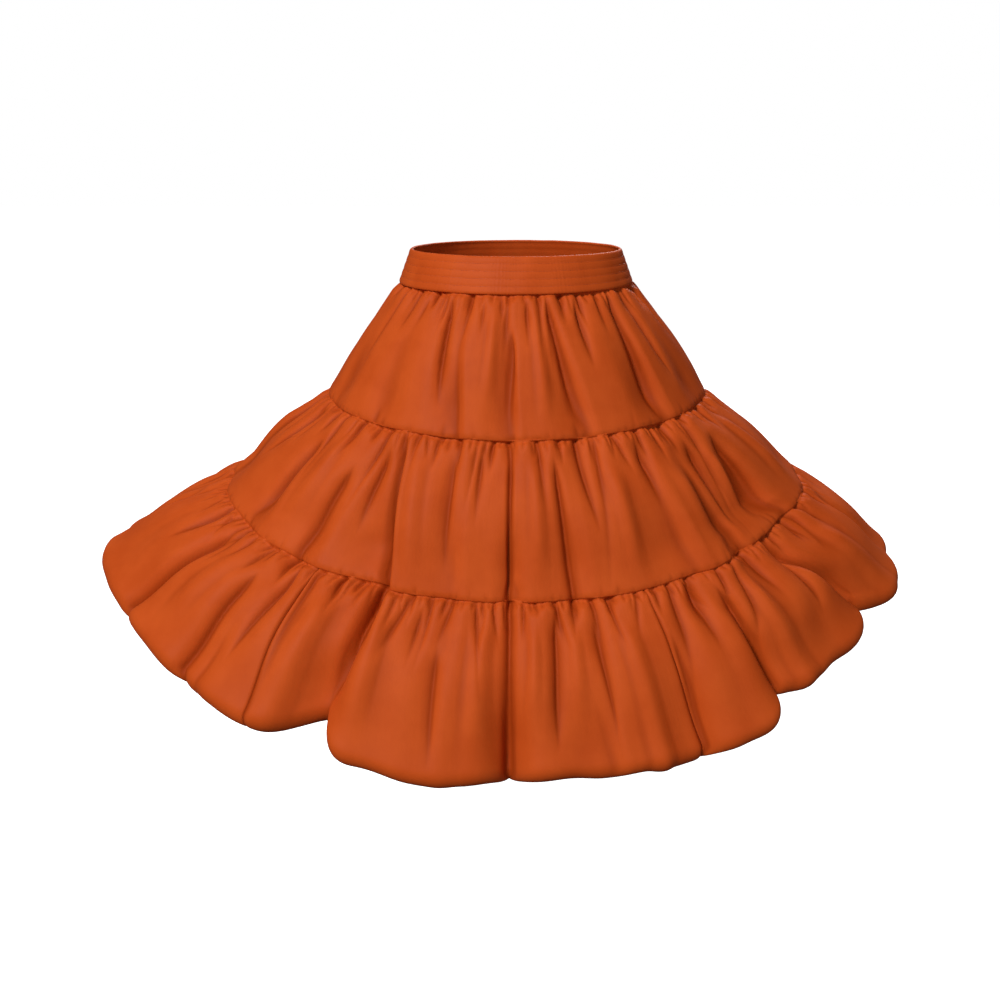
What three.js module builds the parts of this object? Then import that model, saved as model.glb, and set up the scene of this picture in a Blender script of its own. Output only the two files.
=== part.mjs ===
// Tiered ruffle skirt: a smooth, stretched elastic waistband and three gathered tiers, worn open and
// hollow. Millimetres, +Z up. The origin is the centre of the waistband's top edge, and the front
// faces -Y. Azimuths are degrees round the skirt from the front centre, positive towards +X.
import * as THREE from "three";

// ---- driving dimensions -------------------------------------------------------------------------
const WAIST_HALF_WIDTH = 135;
const WAIST_HALF_DEPTH = 108;
const WAISTBAND_DEPTH = 46;
const TIER_1_DEPTH = 172;
const TIER_2_DEPTH = 180;
const TIER_3_DEPTH = 158;
const HEM_ROLL_RADIUS = 27;
const HEM_ROLL_TURN = 150;
const WAISTBAND_THICKNESS = 3;
const CLOTH_THICKNESS = 1.6;
const SEAM_GAP = 0.4;
// How much of a tier's folds is left where the next tier's gathers hold it, and the share of the
// tier's depth from which they ease towards that.
const HELD_AT_SEAM = 0.5;
const EASES_FROM = 0.75;
// The share of a tier's depth over which the folds of the tier above die out.
const FADE_SHARE = 0.7;
// How sharply the sides' wide slope gives way to the steeper front and back: higher is sharper.
const SIDE_SPREAD_FRONT = 2;
const SIDE_SPREAD_BACK = 4;
const CLOTH_COLOUR = 0xc04e1e;

// ---- the skirt's profile, one row for each band of cloth from the waist down ---------------------
// depth: cut depth down the cloth. Slopes: degrees that the cloth stands out from the vertical.
// billow: how far the middle of the band swells past the straight line between its seams.
// drawnUp: degrees by which the band's folds are drawn up as well as in.
const BANDS = [
  { name: "waistband", depth: WAISTBAND_DEPTH, billow: 0, drawnUp: 0,
    front: 22, right: 21, back: 20, left: 21 },
  { name: "tier_1", depth: TIER_1_DEPTH, billow: 4, drawnUp: 0,
    front: 27, right: 35, back: 27, left: 35 },
  { name: "tier_2", depth: TIER_2_DEPTH, billow: 6, drawnUp: 20,
    front: 27, right: 50, back: 27, left: 51 },
  { name: "tier_3", depth: TIER_3_DEPTH, billow: 9, drawnUp: 60,
    front: 35, right: 53, back: 34, left: 64 },
];

// ---- the largest folds, one row for each: where it lies at the band's lower edge, how far it
// reaches to each side, how deep it goes in (a ridge stands out, with a depth below 0), and how far
// round it leans from the lower edge to the upper one. "starts" is the share of the band's depth at
// which the fold begins.
const FOLDS = {
  waistband: [],
  tier_1: [
    { azimuth: -152, reach: 12, depth: 9, lean: -3, starts: 0.1 },
    { azimuth: -124, reach: 11, depth: 7, lean: 4, starts: 0.3 },
    { azimuth: -98, reach: 12, depth: 8, lean: 5, starts: 0.1 },
    { azimuth: -69, reach: 10, depth: 7, lean: 3, starts: 0.2 },
    { azimuth: -44, reach: 10, depth: 7, lean: -2, starts: 0.1 },
    { azimuth: -18, reach: 8, depth: 9, lean: -6, starts: 0.0 },
    { azimuth: -2, reach: 7, depth: 9, lean: -3, starts: 0.0 },
    { azimuth: 21, reach: 8, depth: 9, lean: -7, starts: 0.0 },
    { azimuth: 49, reach: 9, depth: 10, lean: -2, starts: 0.0 },
    { azimuth: 70, reach: 9, depth: 8, lean: -5, starts: 0.1 },
    { azimuth: 93, reach: 10, depth: 8, lean: 2, starts: 0.2 },
    { azimuth: 115, reach: 12, depth: 8, lean: -5, starts: 0.1 },
    { azimuth: 139, reach: 11, depth: 9, lean: 2, starts: 0.2 },
    { azimuth: 168, reach: 12, depth: 8, lean: -4, starts: 0.0 },
  ],
  tier_2: [
    { azimuth: -165, reach: 11, depth: 16, lean: 4, starts: 0.1 },
    { azimuth: -138, reach: 12, depth: 20, lean: -4, starts: 0.2 },
    { azimuth: -112, reach: 13, depth: 18, lean: 5, starts: 0.0 },
    { azimuth: -86, reach: 10, depth: 10, lean: 4, starts: 0.3 },
    { azimuth: -62, reach: 10, depth: 12, lean: 2, starts: 0.1 },
    { azimuth: -39, reach: 9, depth: 12, lean: 3, starts: 0.2 },
    { azimuth: -17, reach: 9, depth: 16, lean: -3, starts: 0.0 },
    { azimuth: -1, reach: 7, depth: 13, lean: 0, starts: 0.0 },
    { azimuth: 13, reach: 7, depth: 8, lean: -2, starts: 0.1 },
    { azimuth: 37, reach: 9, depth: 11, lean: -2, starts: 0.1 },
    { azimuth: 59, reach: 20, depth: 36, lean: -5, starts: 0.1 },
    { azimuth: 86, reach: 10, depth: 8, lean: -3, starts: 0.2 },
    { azimuth: 108, reach: 12, depth: 18, lean: -6, starts: 0.0 },
    { azimuth: 133, reach: 12, depth: 16, lean: 4, starts: 0.2 },
    { azimuth: 161, reach: 12, depth: 20, lean: -5, starts: 0.1 },
  ],
  tier_3: [
    { azimuth: -164, reach: 9, depth: 30, lean: 3, starts: 0.0 },
    { azimuth: -143, reach: 10, depth: 36, lean: -3, starts: 0.0 },
    { azimuth: -122, reach: 10, depth: 20, lean: 2, starts: 0.0 },
    { azimuth: -108, reach: 26, depth: 34, lean: 0, starts: 0.0 },
    { azimuth: -97, reach: 9, depth: 14, lean: 3, starts: 0.0 },
    { azimuth: -79, reach: 11, depth: -8, lean: 0, starts: 0.2 },
    { azimuth: -66, reach: 8, depth: 22, lean: 3, starts: 0.1 },
    { azimuth: -51, reach: 7, depth: 16, lean: 1, starts: 0.1 },
    { azimuth: -30, reach: 9, depth: 46, lean: 1, starts: 0.0 },
    { azimuth: -13, reach: 11, depth: -9, lean: 0, starts: 0.2 },
    { azimuth: -1, reach: 6, depth: 16, lean: -1, starts: 0.0 },
    { azimuth: 7, reach: 6, depth: 6, lean: 1, starts: 0.0 },
    { azimuth: 28, reach: 8, depth: 20, lean: -1, starts: 0.1 },
    { azimuth: 42, reach: 8, depth: 26, lean: -2, starts: 0.2 },
    { azimuth: 60, reach: 30, depth: 28, lean: 0, starts: 0.1 },
    { azimuth: 67, reach: 10, depth: 34, lean: -8, starts: 0.0 },
    { azimuth: 84, reach: 8, depth: 14, lean: -3, starts: 0.2 },
    { azimuth: 99, reach: 9, depth: 16, lean: -3, starts: 0.0 },
    { azimuth: 107, reach: 25, depth: 26, lean: 0, starts: 0.0 },
    { azimuth: 121, reach: 10, depth: 22, lean: 3, starts: 0.0 },
    { azimuth: 141, reach: 9, depth: 26, lean: -2, starts: 0.1 },
    { azimuth: 160, reach: 10, depth: 36, lean: 3, starts: 0.0 },
    { azimuth: 179, reach: 8, depth: 24, lean: -2, starts: 0.1 },
  ],
};

// ---- the cut pieces. Each runs from one join to the next, given by the join's azimuth at the upper
// and the lower edge. A piece with no joins is a whole ring.
const JOIN_TIER_1_RIGHT = { top: 91, bottom: 91 };
const JOIN_TIER_1_LEFT = { top: -91, bottom: -91 };
const JOIN_TIER_2_RIGHT = { top: 94, bottom: 94 };
const JOIN_TIER_2_LEFT = { top: -95, bottom: -95 };
const JOIN_TIER_3_FRONT_LEFT = { top: -41, bottom: -39 };
const JOIN_TIER_3_FRONT_RIGHT = { top: 26, bottom: 28 };
const JOIN_TIER_3_BACK_RIGHT = { top: 121, bottom: 124 };
const JOIN_TIER_3_BACK_LEFT = { top: -141, bottom: -138 };
const PIECES = [
  { name: "waistband", band: 0, columns: 56 },
  { name: "tier_1_front", band: 1, columns: 38, from: JOIN_TIER_1_LEFT, to: JOIN_TIER_1_RIGHT },
  { name: "tier_1_back", band: 1, columns: 38, from: JOIN_TIER_1_RIGHT, to: JOIN_TIER_1_LEFT },
  { name: "tier_2_front", band: 2, columns: 48, from: JOIN_TIER_2_LEFT, to: JOIN_TIER_2_RIGHT },
  { name: "tier_2_back", band: 2, columns: 46, from: JOIN_TIER_2_RIGHT, to: JOIN_TIER_2_LEFT },
  { name: "tier_3_front", band: 3, columns: 28, from: JOIN_TIER_3_FRONT_LEFT, to: JOIN_TIER_3_FRONT_RIGHT },
  { name: "tier_3_right", band: 3, columns: 34, from: JOIN_TIER_3_FRONT_RIGHT, to: JOIN_TIER_3_BACK_RIGHT },
  { name: "tier_3_back", band: 3, columns: 32, from: JOIN_TIER_3_BACK_RIGHT, to: JOIN_TIER_3_BACK_LEFT },
  { name: "tier_3_left", band: 3, columns: 34, from: JOIN_TIER_3_BACK_LEFT, to: JOIN_TIER_3_FRONT_LEFT },
];
const ROWS_ON_WAISTBAND = 1;
const ROWS_ON_TIER = 5;
const ROWS_ON_HEM_ROLL = 4;
// How far to each side the cloth's normal is felt for: degrees round, and millimetres up or down.
const NORMAL_STEP_ROUND = 0.5;
const NORMAL_STEP_DOWN = 1;

// ---- small helpers ------------------------------------------------------------------------------
const radians = (degrees) => THREE.MathUtils.degToRad(degrees);

/** Shortest signed way round from one azimuth to another, in degrees. */
function turnBetween(from, to) {
  return THREE.MathUtils.euclideanModulo(to - from + 180, 360) - 180;
}

/** The band's slope at an azimuth: the four rows' slopes, blended round the skirt. */
function slopeAt(band, azimuth) {
  const sideways = Math.sin(radians(azimuth));
  const forwards = Math.cos(radians(azimuth));
  const frontOrBack = forwards > 0 ? band.front : band.back;
  const leftOrRight = sideways > 0 ? band.right : band.left;
  const spread = Math.abs(sideways) ** (forwards > 0 ? SIDE_SPREAD_FRONT : SIDE_SPREAD_BACK);
  return THREE.MathUtils.lerp(frontOrBack, leftOrRight, spread);
}

/** Directions in the upright plane through an azimuth: down the cloth, off its face, and into a fold. */
function directionsAt(band, azimuth) {
  const slope = radians(slopeAt(band, azimuth));
  const outwards = new THREE.Vector3(Math.sin(radians(azimuth)), -Math.cos(radians(azimuth)), 0);
  const up = new THREE.Vector3(0, 0, 1);
  const down = outwards.clone().multiplyScalar(Math.sin(slope)).addScaledVector(up, -Math.cos(slope));
  const face = outwards.clone().multiplyScalar(Math.cos(slope)).addScaledVector(up, Math.sin(slope));
  const drawnUp = radians(band.drawnUp);
  const inwards = face.clone().multiplyScalar(-Math.cos(drawnUp)).addScaledVector(down, -Math.sin(drawnUp));
  return { down, face, inwards };
}

/** The point of the unfolded seam ring at the top of a band. */
function seamPoint(bandIndex, azimuth) {
  const point = new THREE.Vector3(
    WAIST_HALF_WIDTH * Math.sin(radians(azimuth)),
    -WAIST_HALF_DEPTH * Math.cos(radians(azimuth)),
    0,
  );
  for (const band of BANDS.slice(0, bandIndex)) {
    point.addScaledVector(directionsAt(band, azimuth).down, band.depth);
  }
  return point;
}

/** How far in the band's folds lie at its lower edge (height 1) up to its upper edge (height 0). */
function foldDepth(bandName, azimuth, height) {
  let depth = 0;
  for (const fold of FOLDS[bandName]) {
    const centre = fold.azimuth + fold.lean * (1 - height);
    const offset = Math.abs(turnBetween(centre, azimuth)) / fold.reach;
    if (offset < 1) {
      const growth = THREE.MathUtils.smoothstep(height, fold.starts, 1);
      depth += fold.depth * growth * Math.cos(offset * Math.PI / 2) ** 2;
    }
  }
  return depth;
}

/** How the folds move a point: the band's own, easing at its seam, and those from the band above. */
function foldShift(bandIndex, azimuth, height) {
  const band = BANDS[bandIndex];
  const isHem = bandIndex === BANDS.length - 1;
  const held = isHem ? 1 : 1 - (1 - HELD_AT_SEAM) * THREE.MathUtils.smoothstep(height, EASES_FROM, 1);
  const own = foldDepth(band.name, azimuth, height) * held;
  const shift = directionsAt(band, azimuth).inwards.multiplyScalar(own);
  if (bandIndex > 0) {
    const bandAbove = BANDS[bandIndex - 1];
    const runningOn = 1 - THREE.MathUtils.smoothstep(height, 0, FADE_SHARE);
    const above = foldDepth(bandAbove.name, azimuth, 1) * HELD_AT_SEAM * runningOn;
    shift.addScaledVector(directionsAt(bandAbove, azimuth).inwards, above);
  }
  return shift;
}

/** A point on the outer face of the cloth. Distance runs down the cloth from the band's top seam. */
function clothPoint(bandIndex, azimuth, distance) {
  const band = BANDS[bandIndex];
  const { down, face } = directionsAt(band, azimuth);
  const height = Math.min(distance / band.depth, 1);
  const rolled = Math.max(distance - band.depth, 0) / HEM_ROLL_RADIUS;
  const downwards = band.depth * height + HEM_ROLL_RADIUS * Math.sin(rolled);
  const outwards = band.billow * Math.sin(Math.PI * height) ** 2 + HEM_ROLL_RADIUS * (Math.cos(rolled) - 1);
  const point = seamPoint(bandIndex, azimuth);
  point.addScaledVector(down, downwards);
  point.addScaledVector(face, outwards);
  point.add(foldShift(bandIndex, azimuth, height));
  return point;
}

/** The outward normal of the folded cloth, from its neighbouring points. */
function clothNormal(bandIndex, azimuth, distance) {
  const sideways = clothPoint(bandIndex, azimuth + NORMAL_STEP_ROUND, distance);
  sideways.sub(clothPoint(bandIndex, azimuth - NORMAL_STEP_ROUND, distance));
  const below = clothPoint(bandIndex, azimuth, distance + NORMAL_STEP_DOWN);
  below.sub(clothPoint(bandIndex, azimuth, Math.max(distance - NORMAL_STEP_DOWN, 0)));
  return below.cross(sideways).normalize();
}

/** The distances down a piece at which its rows of points lie. */
function rowDistances(bandIndex) {
  const depth = BANDS[bandIndex].depth;
  const isHem = bandIndex === BANDS.length - 1;
  const rows = bandIndex === 0 ? ROWS_ON_WAISTBAND : ROWS_ON_TIER;
  const straightStart = bandIndex === 0 ? 0 : SEAM_GAP / 2;
  const straightEnd = isHem ? depth : depth - SEAM_GAP / 2;
  const distances = [];
  for (let row = 0; row <= rows; row += 1) {
    distances.push(THREE.MathUtils.lerp(straightStart, straightEnd, row / rows));
  }
  const rollLength = HEM_ROLL_RADIUS * radians(HEM_ROLL_TURN);
  for (let row = 1; isHem && row <= ROWS_ON_HEM_ROLL; row += 1) {
    distances.push(depth + rollLength * row / ROWS_ON_HEM_ROLL);
  }
  return distances;
}

/** The azimuth of one column of a piece, held half a seam gap back from its joins. */
function columnAzimuth(piece, column, distance) {
  const share = column / piece.columns;
  if (!piece.from) {
    return 360 * share;
  }
  const height = Math.min(distance / BANDS[piece.band].depth, 1);
  const from = THREE.MathUtils.lerp(piece.from.top, piece.from.bottom, height);
  const to = from + THREE.MathUtils.euclideanModulo(
    THREE.MathUtils.lerp(piece.to.top, piece.to.bottom, height) - from, 360);
  const reach = clothPoint(piece.band, from, distance).setZ(0).length();
  const gap = THREE.MathUtils.radToDeg(SEAM_GAP / 2 / reach);
  return THREE.MathUtils.lerp(from + gap, to - gap, share);
}

/** One closed wall of cloth: an outer grid, an inner grid moved in along the normals, and its rims. */
function clothWall(piece) {
  const thickness = piece.band === 0 ? WAISTBAND_THICKNESS : CLOTH_THICKNESS;
  const isRing = !piece.from;
  const distances = rowDistances(piece.band);
  const across = isRing ? piece.columns : piece.columns + 1;
  const outer = [];
  const inner = [];
  for (const distance of distances) {
    for (let column = 0; column < across; column += 1) {
      const azimuth = columnAzimuth(piece, column, distance);
      const point = clothPoint(piece.band, azimuth, distance);
      const normal = clothNormal(piece.band, azimuth, distance);
      outer.push(point);
      inner.push(point.clone().addScaledVector(normal, -thickness));
    }
  }
  const half = outer.length;
  const indices = [];
  const quad = (a, b, c, d) => indices.push(a, b, c, a, c, d);
  const at = (row, column) => row * across + column % across;
  const lastRow = distances.length - 1;
  for (let column = 0; column < piece.columns; column += 1) {
    for (let row = 0; row < lastRow; row += 1) {
      const a = at(row, column);
      const b = at(row + 1, column);
      const c = at(row + 1, column + 1);
      const d = at(row, column + 1);
      quad(a, b, c, d);
      quad(half + a, half + d, half + c, half + b);
    }
    quad(at(0, column), at(0, column + 1), half + at(0, column + 1), half + at(0, column));
    quad(at(lastRow, column + 1), at(lastRow, column), half + at(lastRow, column),
      half + at(lastRow, column + 1));
  }
  for (let row = 0; !isRing && row < lastRow; row += 1) {
    const last = piece.columns;
    quad(at(row + 1, 0), at(row, 0), half + at(row, 0), half + at(row + 1, 0));
    quad(at(row, last), at(row + 1, last), half + at(row + 1, last), half + at(row, last));
  }
  const geometry = new THREE.BufferGeometry().setFromPoints([...outer, ...inner]);
  geometry.setIndex(indices);
  geometry.computeVertexNormals();
  return geometry;
}

/** The burnt-orange sateen that every piece is cut from. */
function sateen() {
  return new THREE.MeshStandardMaterial({ color: CLOTH_COLOUR, roughness: 0.55, metalness: 0 });
}

const skirt = new THREE.Group();
for (const piece of PIECES) {
  const mesh = new THREE.Mesh(clothWall(piece), sateen());
  mesh.name = piece.name;
  skirt.add(mesh);
}

export default skirt;
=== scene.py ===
"""Looks of a tiered ruffle skirt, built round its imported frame.

The skirt is worn-shaped and hollow: a stretched elastic waistband and three gathered tiers of
sateen that flare to a softly rolled hem. Sizes are in metres. Azimuths are degrees round the skirt
from the front centre, positive towards +X, and the origin is the middle of the waist opening.
"""

import logging
import math
from collections.abc import Iterator
from dataclasses import dataclass
from enum import Enum

import bpy
import numpy as np
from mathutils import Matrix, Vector


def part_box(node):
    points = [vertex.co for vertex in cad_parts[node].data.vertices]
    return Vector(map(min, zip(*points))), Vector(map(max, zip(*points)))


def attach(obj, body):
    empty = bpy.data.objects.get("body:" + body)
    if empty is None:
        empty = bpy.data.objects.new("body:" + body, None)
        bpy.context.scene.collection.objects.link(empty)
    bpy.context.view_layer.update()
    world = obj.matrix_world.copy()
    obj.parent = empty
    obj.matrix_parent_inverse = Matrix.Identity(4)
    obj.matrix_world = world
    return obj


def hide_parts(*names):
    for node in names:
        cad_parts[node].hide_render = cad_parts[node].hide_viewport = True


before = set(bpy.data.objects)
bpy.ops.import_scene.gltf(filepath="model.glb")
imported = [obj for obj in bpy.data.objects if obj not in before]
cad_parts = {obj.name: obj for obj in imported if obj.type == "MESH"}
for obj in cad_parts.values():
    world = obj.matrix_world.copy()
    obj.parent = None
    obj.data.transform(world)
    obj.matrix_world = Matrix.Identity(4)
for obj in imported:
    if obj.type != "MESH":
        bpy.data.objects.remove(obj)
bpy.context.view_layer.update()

LOG = logging.getLogger("tiered_skirt")
MM = 0.001
SEAM_HALF_GAP = 0.2 * MM
SEAM_TUCKED_IN = 1.5 * MM
# Columns to each side over which a crease is looked for, and how deep it is in full painted shade.
HOLLOW_SCALES = ((4, 0.9 * MM), (12, 2.6 * MM))
# Length of one wave of Blender's wave texture at a scale of 1.
WAVE_LENGTH = 0.314


class Held(Enum):
    """How a piece of the skirt's cloth is held."""

    STRETCHED = "stretched"
    GATHERED = "gathered"


class Slot(Enum):
    """The record's material slots."""

    SATEEN = "sateen"
    WAISTBAND = "elastic_waistband"


def smooth_step(value: np.ndarray, start: float, end: float) -> np.ndarray:
    """Rises smoothly from 0 at start to 1 at end.

    Args:
        value: The values to step.
        start: Where the rise starts.
        end: Where the rise ends.

    Returns:
        The stepped values.
    """
    share = np.clip((value - start) / (end - start), 0.0, 1.0)
    return share * share * (3.0 - 2.0 * share)


def ring_noise(turns: np.ndarray, count: int, seed: int) -> np.ndarray:
    """A smooth random wave that closes on itself round the skirt.

    Args:
        turns: Places round the skirt, one unit for a whole turn.
        count: How many random values the wave passes through in a turn.
        seed: Which wave it is.

    Returns:
        The wave's values, from -1 to 1.
    """
    values = np.random.default_rng(seed).uniform(-1.0, 1.0, count)
    place = np.mod(turns, 1.0) * count
    first = np.floor(place).astype(int)
    share = place - first
    share = share * share * (3.0 - 2.0 * share)
    return values[first % count] * (1.0 - share) + values[(first + 1) % count] * share


def turn_between(start: float | np.ndarray, end: np.ndarray) -> np.ndarray:
    """Shortest signed way round from one azimuth to another, in degrees."""
    return np.mod(end - start + 180.0, 360.0) - 180.0


@dataclass(frozen=True)
class Band:
    """A band of cloth between two seams.

    depth is cut down the cloth, and the slopes are degrees that it stands out from the vertical.
    billow is how far mid-band swells, and drawn_up turns its folds up the cloth, in degrees.
    """

    name: str
    depth: float
    front: float
    right: float
    back: float
    left: float
    billow: float
    drawn_up: float


@dataclass(frozen=True)
class Fold:
    """A fold that runs to the band's lower edge, with a depth below 0 for a ridge.

    pinch is the share by which the fold's flanks close in over it. A higher power keeps the cloth
    beside the fold flatter. A straight fold goes in square to the cloth, and isn't drawn up. skew
    widens the side towards +azimuth and narrows the other.
    """

    azimuth: float
    reach: float
    depth: float
    lean: float
    starts: float
    pinch: float = 0.0
    power: float = 2.0
    straight: bool = False
    skew: float = 0.0

    def offset(self, azimuth: np.ndarray, height: np.ndarray) -> np.ndarray:
        """Where points lie across the fold: 0 in its middle, and 1 or -1 at its edges.

        Args:
            azimuth: Degrees round the skirt.
            height: Share of the band's depth, 1 at its lower edge.

        Returns:
            The places across the fold.
        """
        away = turn_between(self.azimuth + self.lean * (1.0 - height), azimuth)
        return np.clip(away / (self.reach * (1.0 + np.sign(away) * self.skew)), -1.0, 1.0)

    def growth(self, height: np.ndarray) -> np.ndarray:
        """How far the fold has opened at each height, from 0 to 1."""
        return smooth_step(height, self.starts, 1.0)


@dataclass(frozen=True)
class Crease:
    """A smaller crisp trough, or with a depth below 0 a soft ridge, between two heights of a band.

    skew widens the side towards +azimuth and narrows the other. A trough's flanks run wider than
    its reach and steepen towards its middle, by the two values named for troughs. It opens and
    closes between two heights, given as steps from where it starts and ends.
    """

    TROUGH_WIDTH = 1.7
    TROUGH_SHARPNESS = 2.6
    OPENS = (-0.02, 0.2)
    CLOSES = (-0.35, 0.1)

    azimuth: float
    reach: float
    depth: float
    lean: float
    starts: float
    ends: float
    skew: float = 0.0

    def profile(self, azimuth: np.ndarray, height: np.ndarray) -> np.ndarray:
        """The crease's shape across, from 0 at its edges to 1 in its middle.

        Args:
            azimuth: Degrees round the skirt.
            height: Share of the band's depth, 1 at its lower edge.

        Returns:
            The share of its depth at each point.
        """
        offset = turn_between(self.azimuth + self.lean * (1.0 - height), azimuth)
        reach = self.reach * (1.0 + np.sign(offset) * self.skew)
        if self.depth > 0:
            share = np.clip(1.0 - np.abs(offset) / (self.TROUGH_WIDTH * reach), 0.0, 1.0)
            return share**self.TROUGH_SHARPNESS
        return np.cos(np.minimum(np.abs(offset) / reach, 1.0) * np.pi / 2) ** 2

    def run(self, height: np.ndarray) -> np.ndarray:
        """How far the crease has opened at each height, from 0 to 1."""
        opened = smooth_step(height, self.starts + self.OPENS[0], self.starts + self.OPENS[1])
        if self.ends >= 1.0:
            return opened
        closed = smooth_step(height, self.ends + self.CLOSES[0], self.ends + self.CLOSES[1])
        return opened * (1.0 - closed)


@dataclass(frozen=True)
class Tucks:
    """A row of uneven tucks that a seam holds: crisp valleys that fade with distance from it.

    spacing, reach and depth are their usual sizes, and length the usual run of a short one. Every
    few tucks, one is longer by the factor long_run. scatter is a share of the spacing, and the
    spreads are of the logs of size and length, of the lean in degrees for each metre, and of the
    skew. A tuck's mouth is wider at the seam by mouth_share, which fades over mouth_reach. The
    values named near bound the columns that a tuck is worked out for.
    """

    NEAR_REACHES = 2.2
    NEAR_RUN = 0.15
    NEAR_SPARE = 3.0

    spacing: float
    reach: float
    depth: float
    length: float
    long_run: float
    seed: int
    scatter: float = 0.36
    size_spread: float = 0.35
    long_share: float = 0.28
    length_spread: float = 0.4
    lean_spread: float = 22.0
    skew_spread: float = 0.45
    most_depth: float = 1.5
    mouth_share: float = 0.7
    mouth_reach: float = 6 * MM
    widening: float = 0.1
    starts: float = -1.5 * MM
    full_from: float = 3.0 * MM
    fades_from: float = 0.1
    sharpness: float = 2.6

    def draw(self, ring: float) -> Iterator[tuple[float, float, float, float, float]]:
        """Draws the row's tucks.

        Args:
            ring: Metres round the seam that holds them.

        Returns:
            Each tuck's azimuth, size, length, lean and skew.
        """
        count = int(ring / self.spacing)
        draw = np.random.default_rng(self.seed)
        scatter = draw.uniform(-self.scatter, self.scatter, count)
        places = (np.arange(count) + scatter) * 360.0 / count
        sizes = np.exp(draw.normal(0.0, self.size_spread, count))
        is_long = draw.uniform(0.0, 1.0, count) < self.long_share
        spread = np.exp(draw.normal(0.0, self.length_spread, count))
        lengths = self.length * spread * np.where(is_long, self.long_run, 1.0)
        leans = draw.normal(0.0, self.lean_spread, count)
        skews = draw.uniform(-self.skew_spread, self.skew_spread, count)
        return zip(places, sizes, lengths, leans, skews)


@dataclass(frozen=True)
class Swell:
    """Soft waves round the skirt, by their usual width and height and how far down they run.

    They rise over the metres rises, fade over fades to the share kept, and wander to each side.
    """

    spacing: float
    height: float
    rises: float
    fades: float
    kept: float
    seed: int
    wander: float = 0.03
    wander_count: int = 15
    unevenness: float = 0.45
    usual_size: float = 0.6
    size_spread: float = 0.4
    least_count: int = 8


BANDS = (
    Band("waistband", 46 * MM, 22, 21, 20, 21, 0, 0),
    Band("tier_1", 172 * MM, 27, 35, 27, 35, 4 * MM, 0),
    Band("tier_2", 180 * MM, 27, 50, 27, 51, 6 * MM, 20),
    Band("tier_3", 170 * MM, 35, 53, 34, 64, 7 * MM, 60),
)
FOLDS = {
    "waistband": (),
    "tier_1": (
        Fold(-152, 12, 9, -3, 0.1),
        Fold(-124, 11, 7, 4, 0.3),
        Fold(-98, 12, 8, 5, 0.1),
        Fold(-69, 10, 7, 3, 0.2),
        Fold(-44, 10, 7, -2, 0.1),
        Fold(-18, 8, 11, -6, 0.0, skew=-0.5),
        Fold(-2, 7, 10, -3, 0.0, skew=-0.4),
        Fold(21, 8, 11, -8, 0.0, skew=-0.4),
        Fold(49, 9, 12, -8, 0.0, skew=-0.4),
        Fold(70, 9, 8, -5, 0.1),
        Fold(86, 30, -5, 0, 0.0),
        Fold(93, 10, 8, 2, 0.2),
        Fold(115, 12, 8, -5, 0.1),
        Fold(139, 11, 9, 2, 0.2),
        Fold(168, 12, 8, -4, 0.0),
    ),
    "tier_2": (
        Fold(-165, 11, 16, 4, 0.1, 0.3),
        Fold(-138, 12, 20, -4, 0.2, 0.3),
        Fold(-112, 13, 18, 5, 0.0, 0.3),
        Fold(-105, 35, 6, 0, 0.0, straight=True),
        Fold(-86, 10, 10, 4, 0.3),
        Fold(-62, 10, 13, 2, 0.1, skew=-0.4),
        Fold(-46, 9, 13, 3, 0.2, skew=-0.4),
        Fold(-28, 10, 33, -5, 0.0, skew=-0.7),
        Fold(-14, 6, 6, -2, 0.0, skew=-0.3),
        Fold(-1, 5, 13, 0, 0.35, 0.5, 3),
        Fold(13, 7, 8, -2, 0.1, skew=-0.4),
        Fold(37, 9, 14, -5, 0.1, skew=-0.5),
        Fold(50, 6, 13, -9, 0.1, skew=-0.4),
        Fold(59, 20, 30, -5, 0.1, 0.2),
        Fold(67, 6, 16, -11, 0.15, skew=-0.4),
        Fold(86, 10, 8, -3, 0.2),
        Fold(108, 12, 18, -6, 0.0, 0.3),
        Fold(133, 12, 16, 4, 0.2, 0.3),
        Fold(161, 12, 20, -5, 0.1, 0.3),
    ),
    "tier_3": (
        Fold(-164, 9, 36, 3, 0.0, 0.5, 3, False, 0.3),
        Fold(-143, 7, 14, -3, 0.2, 0.2),
        Fold(-122, 10, 28, 4, 0.0, 0.4, 3, False, -0.3),
        Fold(-108, 26, 34, 0, 0.0),
        Fold(-105, 40, 9, 0, 0.0, straight=True),
        Fold(-97, 9, 14, 3, 0.0, 0.4),
        Fold(-79, 11, -8, 0, 0.2),
        Fold(-58, 30, 12, 0, 0.3),
        Fold(-66, 8, 12, 3, 0.1, 0.3, 3, True, -0.3),
        Fold(-48, 7, 9, 1, 0.1, 0.2, 3, True, -0.4),
        Fold(-30, 9, 46, 1, 0.0, 0.4, 3, False, -0.25),
        Fold(-13, 11, -9, 0, 0.2),
        Fold(-1, 6, 24, -1, 0.3, 0.35, 3, True),
        Fold(7, 6, 3, 1, 0.0),
        Fold(14, 6, 9, -4, 0.1, straight=True, skew=-0.5),
        Fold(28, 9, 15, -1, 0.1, 0.2, 3, True, -0.4),
        Fold(42, 8, 30, -2, 0.2, 0.4, 3, False, 0.3),
        Fold(52, 9, 9, 0, 0.3),
        Fold(60, 30, 28, 0, 0.1),
        Fold(67, 10, 34, -8, 0.0, 0.6, 3),
        Fold(84, 8, 14, -3, 0.2, 0.3),
        Fold(99, 9, 16, -3, 0.0, 0.4),
        Fold(107, 25, 26, 0, 0.0),
        Fold(121, 8, 12, 5, 0.2, 0.2),
        Fold(141, 9, 36, -4, 0.1, 0.5, 3, False, -0.3),
        Fold(160, 8, 15, 3, 0.1, 0.2),
        Fold(179, 8, 34, -4, 0.1, 0.4, 3, False, 0.3),
    ),
}
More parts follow.
